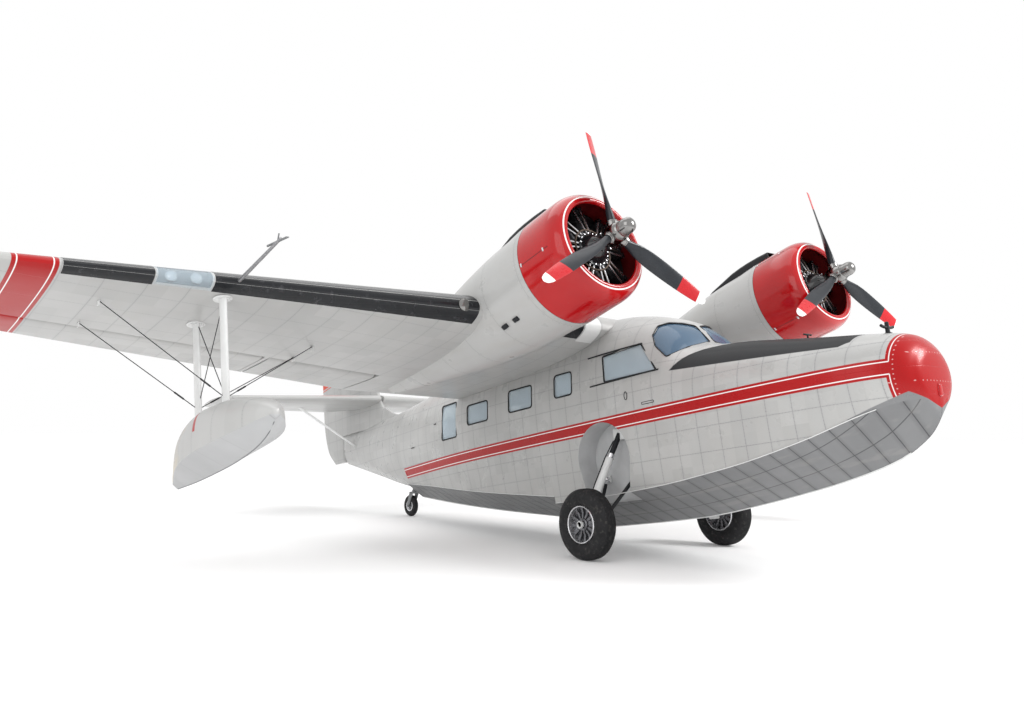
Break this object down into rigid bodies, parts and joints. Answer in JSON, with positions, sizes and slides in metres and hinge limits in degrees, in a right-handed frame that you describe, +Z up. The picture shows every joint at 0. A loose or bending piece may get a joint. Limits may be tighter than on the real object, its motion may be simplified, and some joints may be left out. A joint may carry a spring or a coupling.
{
  "type": "twin-engined amphibious flying boat",
  "caption": "Full-size high-wing flying boat parked on its wheels, with radial engines, wing floats, a glazed cabin, a hinged door and moving control surfaces.",
  "frame": {"origin": "on the ground under the centre of the bounding box, with the aircraft parked on its wheels", "axes": "+X to port along the wing span, -Y towards the nose, +Z up"},
  "size_m": [14.94, 11.9718, 4.5631],
  "materials": {
    "hull_paint": "satin",
    "wing_paint": "satin",
    "cowl_red": "gloss",
    "engine_metal": "satin",
    "propeller_grey": "satin",
    "bare_metal": "satin",
    "gear_paint": "satin",
    "panel_black": "matte",
    "glazing": "clear",
    "seat_leather": "matte",
    "cabin_floor": "matte",
    "tyre_rubber": "matte"
  },
  "bodies": {
    "airframe": {"hull": "hull_paint", "hull_tail": "hull_paint", "wing_center": "wing_paint", "windshield": "glazing", "tall_glazing": "glazing", "cabin_floor": "cabin_floor", "instrument_panel": "panel_black", "pitot_mast": "bare_metal", "bow_cleat": "bare_metal", "wing_starboard": "wing_paint", "wing_port": "wing_paint", "cockpit_glazing_starboard": "glazing", "cockpit_glazing_port": "glazing", "cabin_glazing_starboard": "glazing", "cabin_glazing_port": "glazing", "crew_seat_starboard": "seat_leather", "crew_seat_port": "seat_leather", "cabin_seats_starboard": "seat_leather", "cabin_seats_port": "seat_leather", "nacelle_starboard": "wing_paint", "nacelle_port": "wing_paint", "cowl_starboard": "cowl_red", "cowl_port": "cowl_red", "engine_starboard": "engine_metal", "engine_port": "engine_metal", "cooler_scoop_starboard": "panel_black", "cooler_scoop_port": "panel_black", "float_starboard": "wing_paint", "float_port": "wing_paint", "float_struts_starboard": "wing_paint", "float_struts_port": "wing_paint", "gear_leg_starboard": "gear_paint", "gear_leg_port": "gear_paint", "stabilizer_starboard": "wing_paint", "stabilizer_port": "wing_paint", "tail_strut_starboard": "wing_paint", "tail_strut_port": "wing_paint"},
    "propeller_starboard": {"propeller_starboard": "propeller_grey"},
    "main_wheel_starboard": {"main_wheel_starboard": "tyre_rubber"},
    "flap_starboard": {"flap_starboard": "wing_paint"},
    "aileron_starboard": {"aileron_starboard": "wing_paint"},
    "elevator_starboard": {"elevator_starboard": "wing_paint"},
    "propeller_port": {"propeller_port": "propeller_grey"},
    "main_wheel_port": {"main_wheel_port": "tyre_rubber"},
    "flap_port": {"flap_port": "wing_paint"},
    "aileron_port": {"aileron_port": "wing_paint"},
    "elevator_port": {"elevator_port": "wing_paint"},
    "rudder": {"rudder": "wing_paint"},
    "tail_fork": {"tail_fork": "gear_paint"},
    "tail_wheel": {"tail_wheel": "tyre_rubber"},
    "cabin_door": {"cabin_door": "hull_paint", "door_glazing": "glazing"}
  },
  "joints": [
    {"name": "propeller_starboard_spin", "type": "hinge", "parent": "airframe", "child": "propeller_starboard", "pos_m": [-1.916, -3.68985, 3.36384], "axis": [0, -0.9426, 0.3338], "continuous": true},
    {"name": "propeller_port_spin", "type": "hinge", "parent": "airframe", "child": "propeller_port", "pos_m": [1.916, -3.68985, 3.36384], "axis": [0, -0.9426, 0.3338], "continuous": true},
    {"name": "main_wheel_starboard_roll", "type": "hinge", "parent": "airframe", "child": "main_wheel_starboard", "pos_m": [-1.175, -2.51795, 0.394], "axis": [1, 0, 0], "continuous": true},
    {"name": "main_wheel_port_roll", "type": "hinge", "parent": "airframe", "child": "main_wheel_port", "pos_m": [1.175, -2.51795, 0.394], "axis": [1, 0, 0], "continuous": true},
    {"name": "tail_wheel_swivel", "type": "hinge", "parent": "airframe", "child": "tail_fork", "pos_m": [0, 2.77831, 0.38102], "axis": [0, 0.1478, 0.989], "range_deg": [-80, 80]},
    {"name": "tail_wheel_roll", "type": "hinge", "parent": "tail_fork", "child": "tail_wheel", "pos_m": [0, 2.8681, 0.17], "axis": [1, 0, 0], "continuous": true},
    {"name": "flap_starboard_hinge", "type": "hinge", "parent": "airframe", "child": "flap_starboard", "pos_m": [-3.2425, -0.14325, 2.23018], "axis": [-0.9941, -0.0739, 0.0791], "range_deg": [0, 45]},
    {"name": "flap_port_hinge", "type": "hinge", "parent": "airframe", "child": "flap_port", "pos_m": [3.2425, -0.14325, 2.23018], "axis": [-0.9941, 0.0739, -0.0791], "range_deg": [0, 45]},
    {"name": "aileron_starboard_hinge", "type": "hinge", "parent": "airframe", "child": "aileron_starboard", "pos_m": [-5.425, -0.30541, 2.40385], "axis": [0.9941, 0.0739, -0.0791], "range_deg": [-20, 20]},
    {"name": "aileron_port_hinge", "type": "hinge", "parent": "airframe", "child": "aileron_port", "pos_m": [5.425, -0.30541, 2.40385], "axis": [0.9941, -0.0739, 0.0791], "range_deg": [-20, 20]},
    {"name": "elevator_starboard_hinge", "type": "hinge", "parent": "airframe", "child": "elevator_starboard", "pos_m": [-1.335, 4.71877, 1.77956], "axis": [0.9996, 0.0293, -0.0044], "range_deg": [-25, 25]},
    {"name": "elevator_port_hinge", "type": "hinge", "parent": "airframe", "child": "elevator_port", "pos_m": [1.335, 4.71877, 1.77956], "axis": [0.9996, -0.0293, 0.0044], "range_deg": [-25, 25]},
    {"name": "rudder_hinge", "type": "hinge", "parent": "airframe", "child": "rudder", "pos_m": [0, 5.04226, 0.78078], "axis": [0, 0.1478, 0.989], "range_deg": [-25, 25]},
    {"name": "cabin_door_hinge", "type": "hinge", "parent": "airframe", "child": "cabin_door", "pos_m": [0.74222, 0.58219, 0.71934], "axis": [0, -0.1478, -0.989], "range_deg": [0, 90]}
  ],
  "couplings": [
    {"joint": "flap_port_hinge", "follows": "flap_starboard_hinge", "ratio": 1},
    {"joint": "aileron_port_hinge", "follows": "aileron_starboard_hinge", "ratio": -1},
    {"joint": "elevator_port_hinge", "follows": "elevator_starboard_hinge", "ratio": 1}
  ]
}
